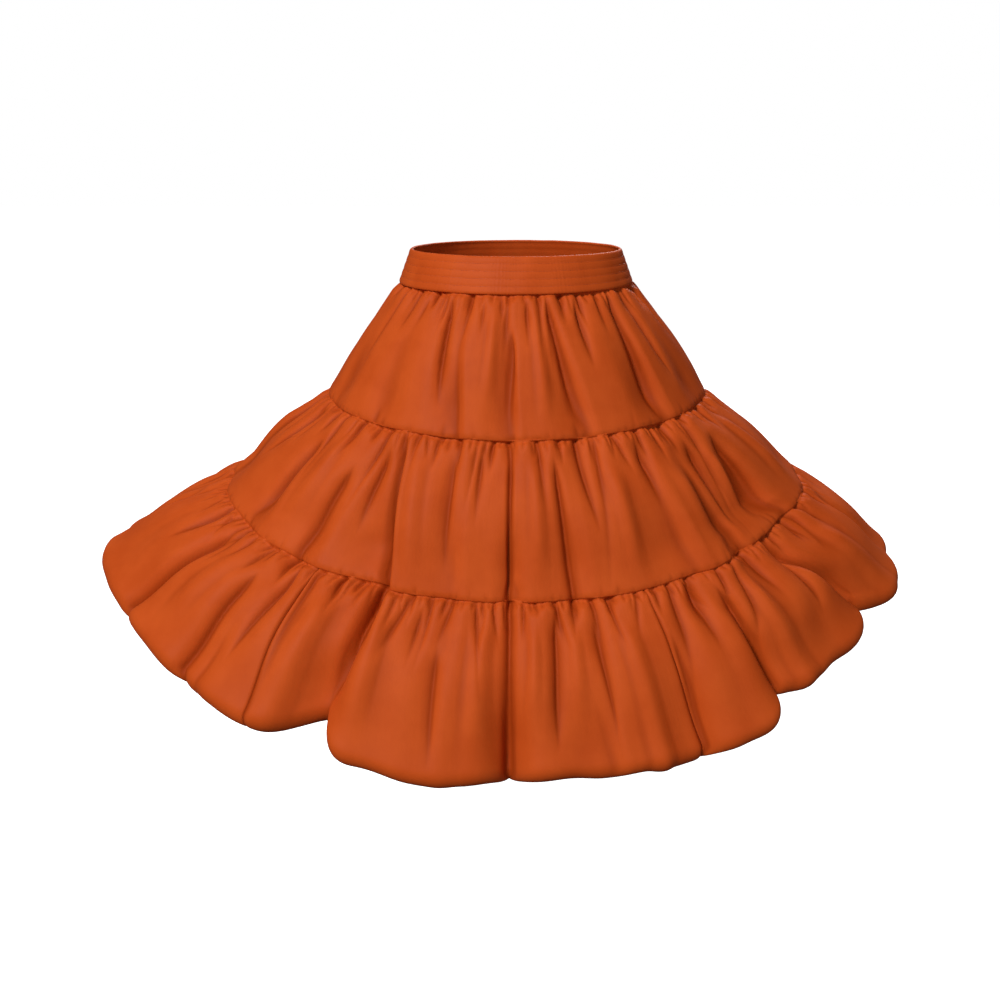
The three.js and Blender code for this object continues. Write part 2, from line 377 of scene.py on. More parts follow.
CREASES = {
    "waistband": (),
    "tier_1": (
        Crease(-24, 2.6, 5.0, -5, 0.0, 0.75),
        Crease(-13.5, 1.8, 4.0, 0, 0.0, 0.25),
        Crease(-6, 1.5, 3.5, 0, 0.0, 0.16),
        Crease(-2.5, 2.2, 4.5, 1, 0.22, 0.8),
        Crease(4.5, 1.8, 4.0, 0, 0.0, 0.32),
        Crease(20, 2.6, 5.0, -7, 0.0, 0.85),
        Crease(28, 2.4, 4.5, -2, 0.0, 0.5),
        Crease(48, 3.2, 6.0, -3, 0.02, 0.95),
        Crease(62, 3.0, 5.0, -6, 0.0, 0.7),
        Crease(-34, 2.0, 3.0, 3, 0.0, 0.3),
        Crease(-48, 2.4, 4.5, 7, 0.0, 0.22),
        Crease(-58, 2.0, 3.5, 5, 0.0, 0.14),
        Crease(-72, 2.4, 4.0, 3, 0.0, 0.12),
        Crease(-82, 3.0, 4.5, -4, 0.1, 0.7),
        Crease(79, 2.6, 4.0, -3, 0.0, 0.45),
        Crease(-9, 3.0, -3.0, 0, 0.05, 0.8),
        Crease(9, 3.2, -3.5, -1, 0.0, 0.9),
        Crease(102, 2.8, 5.0, -4, 0.0, 0.7),
        Crease(126, 2.2, 4.0, 3, 0.0, 0.35),
        Crease(148, 3.0, 5.0, -4, 0.0, 0.8),
        Crease(157, 2.0, 4.0, 2, 0.1, 0.5),
        Crease(179, 2.6, 5.0, 3, 0.0, 0.6),
        Crease(-168, 2.2, 4.0, -3, 0.0, 0.3),
        Crease(-158, 2.8, 5.0, 4, 0.05, 0.85),
        Crease(-137, 2.2, 4.0, -2, 0.0, 0.4),
        Crease(-116, 3.0, 5.0, 4, 0.0, 0.75),
        Crease(-105, 2.0, 3.5, -2, 0.0, 0.3),
    ),
    "tier_2": (
        Crease(-27, 1.8, 6.5, -5, 0.0, 1.0, -0.4),
        Crease(-22, 3.2, -4.0, -5, 0.1, 0.95),
        Crease(-15, 2.4, 3.0, -2, 0.1, 0.8, -0.4),
        Crease(-10, 2.2, 4.0, 1, 0.0, 0.5),
        Crease(-1.5, 0.9, 4.0, 0, 0.05, 1.0),
        Crease(5, 2.6, -3.5, 0, 0.1, 0.9),
        Crease(12, 1.6, 4.5, -2, 0.1, 1.0),
        Crease(20, 2.2, 4.0, -3, 0.0, 0.6),
        Crease(26, 3.0, -4.0, -1, 0.2, 0.95),
        Crease(36, 2.4, 6.0, -2, 0.05, 0.5),
        Crease(45, 3.5, -5.0, -4, 0.3, 1.0),
        Crease(53, 3.2, 7.0, -3, 0.15, 0.8),
        Crease(61, 2.6, -5.0, -8, 0.25, 0.9),
        Crease(68, 3.2, 7.0, -10, 0.2, 0.95),
        Crease(77, 3.0, -5.0, -6, 0.1, 0.9),
        Crease(-38, 2.6, 5.0, 3, 0.1, 0.7),
        Crease(-47, 2.8, 5.0, 5, 0.3, 1.0),
        Crease(-53, 3.2, -4.0, 3, 0.1, 0.9),
        Crease(-63, 2.6, 5.5, 6, 0.2, 0.95),
        Crease(-76, 3.0, 5.0, 4, 0.0, 0.6),
        Crease(-88, 3.0, -4.0, 2, 0.2, 1.0),
        Crease(92, 2.8, 5.0, -3, 0.1, 0.7),
        Crease(103, 2.4, -4.0, -2, 0.2, 1.0),
        Crease(118, 3.0, 6.0, 3, 0.0, 0.9),
        Crease(126, 2.4, 4.0, -4, 0.3, 1.0),
        Crease(145, 3.0, 6.0, 4, 0.05, 0.8),
        Crease(152, 2.6, -4.0, 2, 0.2, 1.0),
        Crease(170, 2.4, 6.0, -4, 0.1, 1.0),
        Crease(-175, 2.8, 5.0, 3, 0.0, 0.6),
        Crease(-156, 2.4, 6.0, 4, 0.1, 0.95),
        Crease(-147, 3.0, -4.0, -2, 0.2, 1.0),
        Crease(-127, 2.6, 5.0, -4, 0.1, 0.8),
        Crease(-103, 2.4, 5.0, 3, 0.2, 1.0),
    ),
    "tier_3": (
        Crease(-29, 2.0, 8.0, 1, 0.0, 0.9),
        Crease(-24.5, 2.4, -5.0, 0, 0.1, 0.9),
        Crease(-19, 1.8, 5.0, 1, 0.05, 0.4),
        Crease(-12.5, 2.4, 4.0, -2, 0.3, 0.95, -0.4),
        Crease(-9, 1.2, 4.0, 3, 0.0, 0.25),
        Crease(-6.5, 2.8, -4.0, 0, 0.1, 0.9),
        Crease(-1.2, 1.4, 4.5, 0, 0.0, 1.0),
        Crease(2.5, 1.6, -3.0, 1, 0.1, 0.8),
        Crease(6.3, 1.8, 5.0, 1.5, 0.05, 0.9),
        Crease(10, 1.8, -3.0, 1, 0.1, 0.8),
        Crease(15.5, 2.2, 5.0, -1, 0.1, 0.9),
        Crease(21, 2.4, -5.0, -1, 0.15, 1.0),
        Crease(28.5, 1.8, 3.5, -1, 0.3, 1.0),
        Crease(34, 2.0, 5.0, 1, 0.0, 0.45),
        Crease(42, 1.8, 8.0, -3, 0.1, 1.0),
        Crease(48, 2.4, -5.0, -3, 0.1, 1.0),
        Crease(55, 2.0, 5.0, 2, 0.0, 0.7),
        Crease(65, 2.2, 9.0, -8, 0.0, 1.0),
        Crease(74, 2.6, -5.0, -6, 0.2, 1.0),
        Crease(83, 2.0, 6.0, -3, 0.1, 0.9),
        Crease(-37, 2.6, -5.0, 1, 0.1, 1.0),
        Crease(-45, 2.0, 5.0, 1, 0.05, 0.8),
        Crease(-51, 1.8, 6.0, 1, 0.2, 1.0),
        Crease(-58, 2.4, -4.0, 3, 0.1, 0.9),
        Crease(-66, 2.0, 8.0, 4, 0.1, 1.0),
        Crease(-73, 2.0, 5.0, 4, 0.0, 0.5),
        Crease(-86, 2.4, 6.0, 3, 0.2, 1.0),
        Crease(-97, 2.2, 7.0, 3, 0.1, 1.0),
        Crease(-106, 2.4, -5.0, 2, 0.1, 1.0),
        Crease(-114, 2.0, 5.0, 1, 0.0, 0.8),
        Crease(-122, 2.0, 7.0, 2, 0.1, 1.0),
        Crease(-132, 2.6, -5.0, -2, 0.1, 1.0),
        Crease(-143, 2.0, 9.0, -3, 0.0, 1.0),
        Crease(-153, 2.6, -5.0, 2, 0.1, 1.0),
        Crease(-164, 2.0, 8.0, 3, 0.0, 1.0),
        Crease(-173, 2.2, 5.0, -2, 0.0, 0.7),
        Crease(179, 1.8, 7.0, -2, 0.1, 1.0),
        Crease(170, 2.4, -5.0, 1, 0.1, 1.0),
        Crease(160, 2.0, 9.0, 3, 0.0, 1.0),
        Crease(151, 2.4, 5.0, -2, 0.0, 0.6),
        Crease(141, 2.0, 8.0, -2, 0.1, 1.0),
        Crease(131, 2.6, -5.0, 1, 0.1, 1.0),
        Crease(121, 2.0, 7.0, 3, 0.0, 1.0),
        Crease(110, 2.4, 5.0, 2, 0.1, 0.8),
        Crease(99, 2.0, 6.0, -3, 0.0, 1.0),
    ),
}


@dataclass(frozen=True)
class SkirtForm:
    """The skirt's smooth form and its folds, the same as its solids'."""

    bands: tuple[Band, ...] = BANDS
    waist_half_width: float = 135 * MM
    waist_half_depth: float = 108 * MM
    roll_radius: float = 15 * MM
    roll_turn: float = 175.0
    held_at_seam: float = 0.5
    eases_from: float = 0.75
    fade_share: float = 0.7
    origin: tuple[float, float, float] = (0.0, 0.0, 0.0)
    side_spread_front: float = 2.0
    side_spread_back: float = 4.0
    seam_blend: float = 7 * MM
    pinch_eases_from: float = 0.7
    pinch_full_at: float = 0.4

    def slope(self, band: Band, azimuth: np.ndarray) -> np.ndarray:
        """The band's slope at each azimuth.

        Args:
            band: The band of cloth.
            azimuth: Degrees round the skirt.

        Returns:
            Radians that the cloth stands out from the vertical.
        """
        sideways = np.sin(np.radians(azimuth))
        forwards = np.cos(np.radians(azimuth))
        front_or_back = np.where(forwards > 0, band.front, band.back)
        left_or_right = np.where(sideways > 0, band.right, band.left)
        power = np.where(forwards > 0, self.side_spread_front, self.side_spread_back)
        spread = np.abs(sideways) ** power
        return np.radians(front_or_back + (left_or_right - front_or_back) * spread)

    def directions(self, band: Band,
                   azimuth: np.ndarray) -> tuple[np.ndarray, np.ndarray, np.ndarray]:
        """Directions in the upright plane through each azimuth.

        Args:
            band: The band of cloth.
            azimuth: Degrees round the skirt.

        Returns:
            Unit directions down the cloth, off its face, and into a fold.
        """
        slope = self.slope(band, azimuth)[..., None]
        turn = np.radians(azimuth)
        outwards = np.stack([np.sin(turn), -np.cos(turn), np.zeros_like(turn)], -1)
        up = np.array([0.0, 0.0, 1.0])
        down = outwards * np.sin(slope) - up * np.cos(slope)
        face = outwards * np.cos(slope) + up * np.sin(slope)
        drawn_up = math.radians(band.drawn_up)
        return down, face, -face * math.cos(drawn_up) - down * math.sin(drawn_up)

    def seam_point(self, index: int, azimuth: np.ndarray) -> np.ndarray:
        """Points of the unfolded seam ring at the top of a band.

        Args:
            index: Which band, counted from the waistband.
            azimuth: Degrees round the skirt.

        Returns:
            The points, one for each azimuth.
        """
        turn = np.radians(azimuth)
        width, depth = self.waist_half_width, self.waist_half_depth
        oval = np.stack([width * np.sin(turn), -depth * np.cos(turn), np.zeros_like(turn)], -1)
        point = oval + self.origin
        for band in self.bands[:index]:
            point = point + self.directions(band, azimuth)[0] * band.depth
        return point

    def ring(self, index: int) -> float:
        """Metres round the unfolded seam at the top of a band."""
        points = self.seam_point(index, np.linspace(0.0, 360.0, 721))
        return float(np.linalg.norm(np.diff(points, axis=0), axis=1).sum())

    def seam_blended(self, index: int, azimuth: np.ndarray, distance: np.ndarray,
                     normals: np.ndarray) -> np.ndarray:
        """Turns a band's normals to the direction that it shares with its neighbour at each seam.

        Args:
            index: Which band, counted from the waistband.
            azimuth: Degrees round the skirt.
            distance: Metres down the cloth from the band's top seam.
            normals: The band's own normals.

        Returns:
            The turned unit normals.
        """
        band = self.bands[index]
        face = self.directions(band, azimuth)[1]
        for other, away in ((index - 1, distance), (index + 1, band.depth - distance)):
            if 0 <= other < len(self.bands):
                shared = face + self.directions(self.bands[other], azimuth)[1]
                shared = shared / np.linalg.norm(shared, axis=-1, keepdims=True)
                share = np.exp(-((np.maximum(away, 0.0) / self.seam_blend) ** 2))[..., None]
                normals = normals * (1.0 - share) + shared * share
        return normals / np.linalg.norm(normals, axis=-1, keepdims=True)

    def fold_depth(self, band: Band, azimuth: np.ndarray, height: np.ndarray,
                   straight: bool = False) -> np.ndarray:
        """How far in the band's own folds lie.

        Args:
            band: The band of cloth.
            azimuth: Degrees round the skirt.
            height: Share of the band's depth, 1 at its lower edge.
            straight: Whether to give the straight folds, or those that are drawn up.

        Returns:
            Depths in metres.
        """
        depth = np.zeros(np.broadcast(azimuth, height).shape)
        for fold in FOLDS[band.name]:
            if fold.straight != straight:
                continue
            across = np.abs(np.cos(fold.offset(azimuth, height) * np.pi / 2)) ** fold.power
            depth += fold.depth * MM * fold.growth(height) * across
        return depth

    def pinch(self, band: Band, azimuth: np.ndarray, height: np.ndarray) -> np.ndarray:
        """How far the folds' flanks close in over them, in degrees.

        Args:
            band: The band of cloth.
            azimuth: Degrees round the skirt.
            height: Share of the band's depth, 1 at its lower edge.

        Returns:
            Degrees that each point is moved round the skirt.
        """
        shift = np.zeros(np.broadcast(azimuth, height).shape)
        for fold in FOLDS[band.name]:
            offset = fold.offset(azimuth, height)
            shift -= fold.pinch * fold.reach * fold.growth(height) * offset * (1.0 - offset**2) ** 2
        return shift

    def fold_shift(self, index: int, azimuth: np.ndarray, height: np.ndarray) -> np.ndarray:
        """How the folds move the cloth: the band's own, and those running on from the band above.

        Args:
            index: Which band, counted from the waistband.
            azimuth: Degrees round the skirt.
            height: Share of the band's depth, 1 at its lower edge.

        Returns:
            A shift for each point.
        """
        band = self.bands[index]
        held = np.ones_like(height)
        if index < len(self.bands) - 1:
            held = 1.0 - (1.0 - self.held_at_seam) * smooth_step(height, self.eases_from, 1.0)
        own = self.fold_depth(band, azimuth, height) * held
        _, face, inwards = self.directions(band, azimuth)
        square = self.fold_depth(band, azimuth, height, straight=True) * held
        shift = inwards * own[..., None] - face * square[..., None]
        if index > 0:
            above = self.bands[index - 1]
            running_on = self.held_at_seam * (1.0 - smooth_step(height, 0.0, self.fade_share))
            _, face, inwards = self.directions(above, azimuth)
            edge = np.ones_like(height)
            depth = self.fold_depth(above, azimuth, edge) * running_on
            square = self.fold_depth(above, azimuth, edge, straight=True) * running_on
            shift = shift + inwards * depth[..., None] - face * square[..., None]
        return shift

    def point(self, index: int, azimuth: np.ndarray, distance: np.ndarray) -> np.ndarray:
        """Points on the cloth's outer face.

        Args:
            index: Which band, counted from the waistband.
            azimuth: Degrees round the skirt.
            distance: Metres down the cloth from the band's top seam.

        Returns:
            The points.
        """
        band = self.bands[index]
        height = np.minimum(distance / band.depth, 1.0)
        rolled = np.maximum(distance - band.depth, 0.0) / self.roll_radius
        free = height
        if index < len(self.bands) - 1:
            free = height * (1.0 - smooth_step(height, self.pinch_eases_from, 1.0))
        closing = smooth_step(free, 0.0, self.pinch_full_at)
        turned = azimuth + self.pinch(band, azimuth, height) * closing
        down, face, _ = self.directions(band, turned)
        downwards = band.depth * height + self.roll_radius * np.sin(rolled)
        swell = band.billow * np.sin(np.pi * height) ** 2
        outwards = swell + self.roll_radius * (np.cos(rolled) - 1.0)
        place = self.seam_point(index, turned) + down * downwards[..., None]
        place = place + face * outwards[..., None]
        return place + self.fold_shift(index, azimuth, height)


def grid_normals(points: np.ndarray, closed: bool) -> np.ndarray:
    """Outward normals of a grid of points.

    Args:
        points: Rows of points down the cloth, with columns round it.
        closed: Whether the last column meets the first.

    Returns:
        A unit normal for each point.
    """
    if closed:
        round_it = np.roll(points, -1, axis=1) - np.roll(points, 1, axis=1)
    else:
        round_it = np.gradient(points, axis=1)
    normals = np.cross(np.gradient(points, axis=0), round_it)
    return normals / np.linalg.norm(normals, axis=-1, keepdims=True)


# This depth is the mask for the sateen's painted shade in creases.
def hollowness(points: np.ndarray, normals: np.ndarray, closed: bool) -> np.ndarray:
    """How deep each point lies in a crease, from 0 on open cloth to 1 deep inside.

    Args:
        points: Grid of points, rows down the cloth by columns round it.
        normals: Outward normal of each point.
        closed: Whether the last column meets the first.

    Returns:
        The depth at each point, as a share.
    """
    total = np.zeros(points.shape[:2])
    mode = "wrap" if closed else "reflect"
    for reach, deep in HOLLOW_SCALES:
        padded = np.pad(points, ((0, 0), (reach, reach), (0, 0)), mode)
        sums = np.cumsum(np.pad(padded, ((0, 0), (1, 0), (0, 0))), axis=1)
        mean = (sums[:, 2 * reach + 1 :] - sums[:, : -2 * reach - 1]) / (2 * reach + 1)
        total += np.clip(((mean - points) * normals).sum(-1) / deep, 0.0, 1.0) / len(HOLLOW_SCALES)
    return total


def lowest_nearby(heights: np.ndarray) -> np.ndarray:
    """The lowest height within a few points of each one, so that a coarser inner face stays behind.

    Args:
        heights: Grid of heights.

    Returns:
        The lowest ones.
    """
    lowest = heights
    for axis, reach in ((1, 3), (0, 2)):
        margins = [(reach, reach) if part == axis else (0, 0) for part in (0, 1)]
        padded = np.pad(lowest, margins, "edge")
        size = heights.shape[axis]
        shifted = [np.take(padded, range(step, step + size), axis) for step in range(2 * reach + 1)]
        lowest = np.minimum.reduce(shifted)
    return lowest


@dataclass(frozen=True)
class TierDetail:
    """The fine shape of a tier: tucks under its seam, puckers above the next, and creases."""

    tucks: tuple[Tucks, ...] = (
        Tucks(8.5 * MM, 5.0 * MM, 3.6 * MM, 14 * MM, 2.6, 11),
        Tucks(24 * MM, 10 * MM, 5.5 * MM, 50 * MM, 2.4, 29),
    )
    puckers: Tucks = Tucks(12 * MM, 5 * MM, 1.3 * MM, 8 * MM, 1.8, 71)
    swells: tuple[Swell, ...] = (
        Swell(38 * MM, 2.4 * MM, 14 * MM, 110 * MM, 0.3, 37),
        Swell(80 * MM, 3.6 * MM, 40 * MM, 200 * MM, 0.6, 53),
    )
    seam_dip: float = 2.0 * MM
    seam_dip_reach: float = 2.2 * MM
    header_puff: float = 2.6 * MM
    side_puff: float = 0.4
    header_reach: float = 4 * MM
    header_fade: float = 40 * MM
    join_dip: float = 1.8 * MM
    join_dip_reach: float = 1.8 * MM
    crease_scale: float = 2.0
    running_on_reach: float = 16 * MM
    roll_fade: float = 0.85
    roll_fades_from: float = 5 * MM
    roll_fades_to: float = 34 * MM
    header_unevenness: float = 0.4
    header_noise: tuple[int, int] = (60, 91)

    def tuck_rise(self, azimuth: np.ndarray, away: np.ndarray, tucks: Tucks,
                  ring: float) -> np.ndarray:
        """How far a row of tucks sinks the cloth.

        Args:
            azimuth: Degrees round the skirt, rows of points by columns.
            away: Metres from the seam that holds the tucks.
            tucks: The row of tucks.
            ring: Metres round that seam.

        Returns:
            Heights in metres, 0 or below.
        """
        degrees = 360.0 / ring
        total = np.zeros(azimuth.shape)
        middle = azimuth[len(azimuth) // 2]
        for place, size, length, lean, skew in tucks.draw(ring):
            widest = (tucks.reach * tucks.NEAR_REACHES + tucks.NEAR_RUN * length) * size * degrees
            widest += abs(lean) * length + tucks.NEAR_SPARE
            near = np.flatnonzero(np.abs(turn_between(place, middle)) < widest)
            if len(near) == 0:
                continue
            part = slice(near[0], near[-1] + 1)
            far = away[:, part]
            offset = turn_between(place + lean * far, azimuth[:, part])
            opening = 1.0 + tucks.mouth_share * np.exp(-np.maximum(far, 0.0) / tucks.mouth_reach)
            width = tucks.reach * size * opening + tucks.widening * far
            width = width * (1.0 + np.sign(offset) * skew) * degrees
            share = np.clip(1.0 - np.abs(offset) / width, 0.0, 1.0)
            run = smooth_step(far, tucks.starts, tucks.full_from)
            run = run * (1.0 - smooth_step(far, tucks.fades_from * length, length))
            depth = tucks.depth * min(size, tucks.most_depth)
            total[:, part] -= depth * run * share**tucks.sharpness
        return total

    def swell_rise(self, turns: np.ndarray, away: np.ndarray, swell: Swell,
                   ring: float) -> np.ndarray:
        """Heights of soft waves round the skirt.

        Args:
            turns: Places round the skirt, one unit for a whole turn.
            away: Metres from the seam.
            swell: The waves' sizes.
            ring: Metres round the seam.

        Returns:
            Heights in metres.
        """
        count = max(int(ring / swell.spacing), swell.least_count)
        turns = turns + swell.wander * ring_noise(turns, swell.wander_count, swell.seed + 5) * away
        phase = turns * count + swell.unevenness * ring_noise(turns, count // 2, swell.seed)
        wave = np.cos(2 * np.pi * phase)
        size = swell.usual_size + swell.size_spread * ring_noise(turns, count // 2, swell.seed + 1)
        fading = swell.kept + (1.0 - swell.kept) * np.exp(-((away / swell.fades) ** 2))
        return swell.height * size * wave * smooth_step(away, 0.0, swell.rises) * fading / 2

    def creases(self, band: Band, azimuth: np.ndarray, height: np.ndarray,
                past_edge: np.ndarray) -> np.ndarray:
        """The band's smaller troughs and ridges.

        Args:
            band: The band of cloth.
            azimuth: Degrees round the skirt.
            height: Share of the band's depth, 1 at its lower edge.
            past_edge: Metres past the band's lower edge, on a hem's roll.

        Returns:
            Heights in metres, below 0 in a trough.
        """
        rise = np.zeros(np.broadcast(azimuth, height).shape)
        for crease in CREASES[band.name]:
            scale = self.crease_scale if crease.depth > 0 else 1.0
            rise -= scale * crease.depth * MM * crease.run(height) * crease.profile(azimuth, height)
        fading = smooth_step(past_edge, self.roll_fades_from, self.roll_fades_to)
        return rise * (1.0 - self.roll_fade * fading)

    def rise(self, band: Band, above: Band, is_hem: bool, azimuth: np.ndarray, distance: np.ndarray,
             rings: tuple[float, float], from_join: np.ndarray) -> np.ndarray:
        """How far the fine shape stands off the folded form.

        Args:
            band: The band of cloth.
            above: The band that it is sewn to, whose creases run on into it.
            is_hem: Whether the band's lower edge is free.
            azimuth: Degrees round the skirt.
            distance: Metres down the cloth from the band's top seam.
            rings: Metres round the band's upper and lower edges.
            from_join: Metres to the nearest join between widths of cloth.

        Returns:
            Heights in metres.
        """
        turns = azimuth / 360.0
        height = np.clip(distance / band.depth, 0.0, 1.0)
        total = self.creases(band, azimuth, height, distance - band.depth)
        for tucks in self.tucks:
            total += self.tuck_rise(azimuth, distance, tucks, rings[0])
        for swell in self.swells:
            total += self.swell_rise(turns, distance, swell, rings[0])
        below = np.maximum(distance, 0.0)
        from_above = self.creases(above, azimuth, np.ones_like(height), np.zeros_like(height))
        total += from_above * np.exp(-((below / self.running_on_reach) ** 2))
        puff = (1.0 - np.exp(-below / self.header_reach)) * np.exp(-below / self.header_fade)
        puff = puff * (1.0 - (1.0 - self.side_puff) * np.sin(np.radians(azimuth)) ** 2)
        uneven = 1.0 + self.header_unevenness * ring_noise(turns, *self.header_noise)
        total += self.header_puff * puff * uneven
        total -= self.seam_dip * np.exp(-((below / self.seam_dip_reach) ** 2))
        if not is_hem:
            to_seam = band.depth - distance
            total += self.tuck_rise(azimuth, to_seam, self.puckers, rings[1])
            total -= self.seam_dip * np.exp(-((to_seam / self.seam_dip_reach) ** 2))
        total -= self.join_dip * np.exp(-((from_join / self.join_dip_reach) ** 2))
        return total


@dataclass(frozen=True)
class Join:
    """A join between two widths of cloth, by its azimuth at the upper and the lower edge."""

    top: float
    bottom: float

    def at(self, height: np.ndarray) -> np.ndarray:
        """The join's azimuth at a share of the band's depth."""
        return self.top + (self.bottom - self.top) * height


class ShellMesh:
    """Builds a thin closed shell: a fine outer grid, a coarser inner one, and rims between."""

    SKIP_ROUND = 3
    SKIP_DOWN = 2
    BAKE_OUTER = (0.24, 0.995)
    BAKE_INNER = (0.005, 0.19)
    BAKE_RIMS = (0.196, 0.206, 0.216, 0.226)
    BAKE_RIM_HALF = 0.003
    BAKE_START = 0.002
    BAKE_WIDTH = 0.996

    def __init__(self, name: str, outer: np.ndarray, inner: np.ndarray, weave: np.ndarray,
                 hollow: np.ndarray, closed: bool = False) -> None:
        """Takes the two faces of the cloth.

        Args:
            name: The piece's name.
            outer: Grid of points on the outer face, rows down by columns round.
            inner: Grid of points behind each outer one.
            weave: Cloth coordinates in metres for each outer point.
            hollow: How deep in a crease each outer point lies.
            closed: Whether the last column meets the first.
        """
        self.name = name
        self.hollow = hollow
        self.closed = closed
        self.outer = outer
        self.inner = inner[:: self.SKIP_DOWN, :: self.SKIP_ROUND]
        self.weave_outer = weave
        self.weave_inner = weave[:: self.SKIP_DOWN, :: self.SKIP_ROUND]
        self.faces: list[list[int]] = []
        self.bake: list[tuple[float, float]] = []

    def add(self, corners: list[int], bake: list[tuple[float, float]]) -> None:
        """Adds one face with its bake places."""
        self.faces.append(corners)
        self.bake.extend(bake)

    def grid(self, rows: int, columns: int, first: int, span: tuple[float, float],
             flip: bool) -> None:
        """Adds the faces of one grid.

        Args:
            rows: Rows of points.
            columns: Columns of points.
            first: Number of the grid's first point.
            span: The heights that it covers on the bake map.
            flip: Whether its faces turn inwards.
        """
        steps = columns if self.closed else columns - 1
        across = [self.BAKE_START + self.BAKE_WIDTH * column / steps for column in range(steps + 1)]
        down = [span[0] + (span[1] - span[0]) * row / (rows - 1) for row in range(rows)]
        for row in range(rows - 1):
            for column in range(steps):
                cells = [(row, column), (row + 1, column), (row + 1, column + 1), (row, column + 1)]
                if flip:
                    cells.reverse()
                corners = [first + r * columns + c % columns for r, c in cells]
                self.add(corners, [(across[c], down[r]) for r, c in cells])

    def rim(self, fine: list[int], coarse: list[int], skip: int, level: float, flip: bool) -> None:
        """Adds the faces that join one edge of the outer grid to the inner grid.

        Args:
            fine: Points along the outer edge.
            coarse: Points along the inner edge.
            skip: How many outer steps there are to one inner step.
            level: The rim's height on the bake map.
            flip: Whether its faces turn the other way.
        """
        steps = len(coarse) - 1
        for step in range(steps):
            outer_run = fine[step * skip : step * skip + skip + 1]
            corners = outer_run + [coarse[step + 1], coarse[step]]
            along = [self.BAKE_START + self.BAKE_WIDTH * (step + part / skip) / steps
                     for part in range(skip + 1)]
            bake = [(place, level + self.BAKE_RIM_HALF) for place in along]
            bake += [(place, level - self.BAKE_RIM_HALF) for place in (along[-1], along[0])]
            if flip:
                corners.reverse()
                bake.reverse()
            self.add(corners, bake)

    def build(self) -> bpy.types.Object:
        """Builds the shell as an object at the origin.

        Returns:
            The new object, linked to the scene.
        """
        rows, columns = self.outer.shape[:2]
        inner_rows, inner_columns = self.inner.shape[:2]
        first = rows * columns
        self.grid(rows, columns, 0, self.BAKE_OUTER, False)
        self.grid(inner_rows, inner_columns, first, self.BAKE_INNER, True)
        ends = ((0, 0, False), (rows - 1, inner_rows - 1, True))
        for level, (row, inner_row, flip) in enumerate(ends):
            fine = [row * columns + column for column in range(columns)]
            coarse = [first + inner_row * inner_columns + column for column in range(inner_columns)]
            if self.closed:
                fine.append(fine[0])
                coarse.append(coarse[0])
            self.rim(fine, coarse, self.SKIP_ROUND, self.BAKE_RIMS[level], flip)
        sides = () if self.closed else ((0, 0, True), (columns - 1, inner_columns - 1, False))
        for level, (column, inner_column, flip) in enumerate(sides):
            fine = [row * columns + column for row in range(rows)]
            coarse = [first + row * inner_columns + inner_column for row in range(inner_rows)]
            self.rim(fine, coarse, self.SKIP_DOWN, self.BAKE_RIMS[level + 2], flip)
        points = np.concatenate([self.outer.reshape(-1, 3), self.inner.reshape(-1, 3)])
        weave = np.concatenate([self.weave_outer.reshape(-1, 2), self.weave_inner.reshape(-1, 2)])
        made = make_object(self.name, points, self.faces, weave, self.bake)
        # The crease depth is kept so the sateen can paint shade into the creases.
        crease = made.data.attributes.new("crease", "FLOAT", "POINT")
        values = np.zeros(len(points), dtype=np.float32)
        values[: self.hollow.size] = self.hollow.ravel()
        crease.data.foreach_set("value", values)
        return made


def link_object(name: str, data: bpy.types.ID) -> bpy.types.Object:
    """Makes an object of the data, linked to the scene."""
    made = bpy.data.objects.new(name, data)
    bpy.context.scene.collection.objects.link(made)
    return made


def make_object(name: str, points: np.ndarray, faces: list[list[int]], weave: np.ndarray,
                bake: list[tuple[float, float]]) -> bpy.types.Object:
    """Makes a smooth-shaded mesh object with its cloth and bake maps.

    Args:
        name: The object's name.
        points: The mesh's points.
        faces: Point numbers of each face.
        weave: Cloth coordinates of each point, in metres.
        bake: Bake place of each face corner.

    Returns:
        The object, linked to the scene.
    """
    mesh = bpy.data.meshes.new(name)
    mesh.from_pydata(points.tolist(), [], faces)
    corners = np.concatenate([np.asarray(face) for face in faces])
    cloth = mesh.uv_layers.new(name="cloth")
    cloth.data.foreach_set("uv", weave[corners].astype(np.float32).ravel())
    bake_map = mesh.uv_layers.new(name="OFBake")
    bake_map.data.foreach_set("uv", np.asarray(bake, dtype=np.float32).ravel())
    mesh.uv_layers.active = cloth
    mesh.shade_smooth()
    mesh.update()
    return link_object(name, mesh)


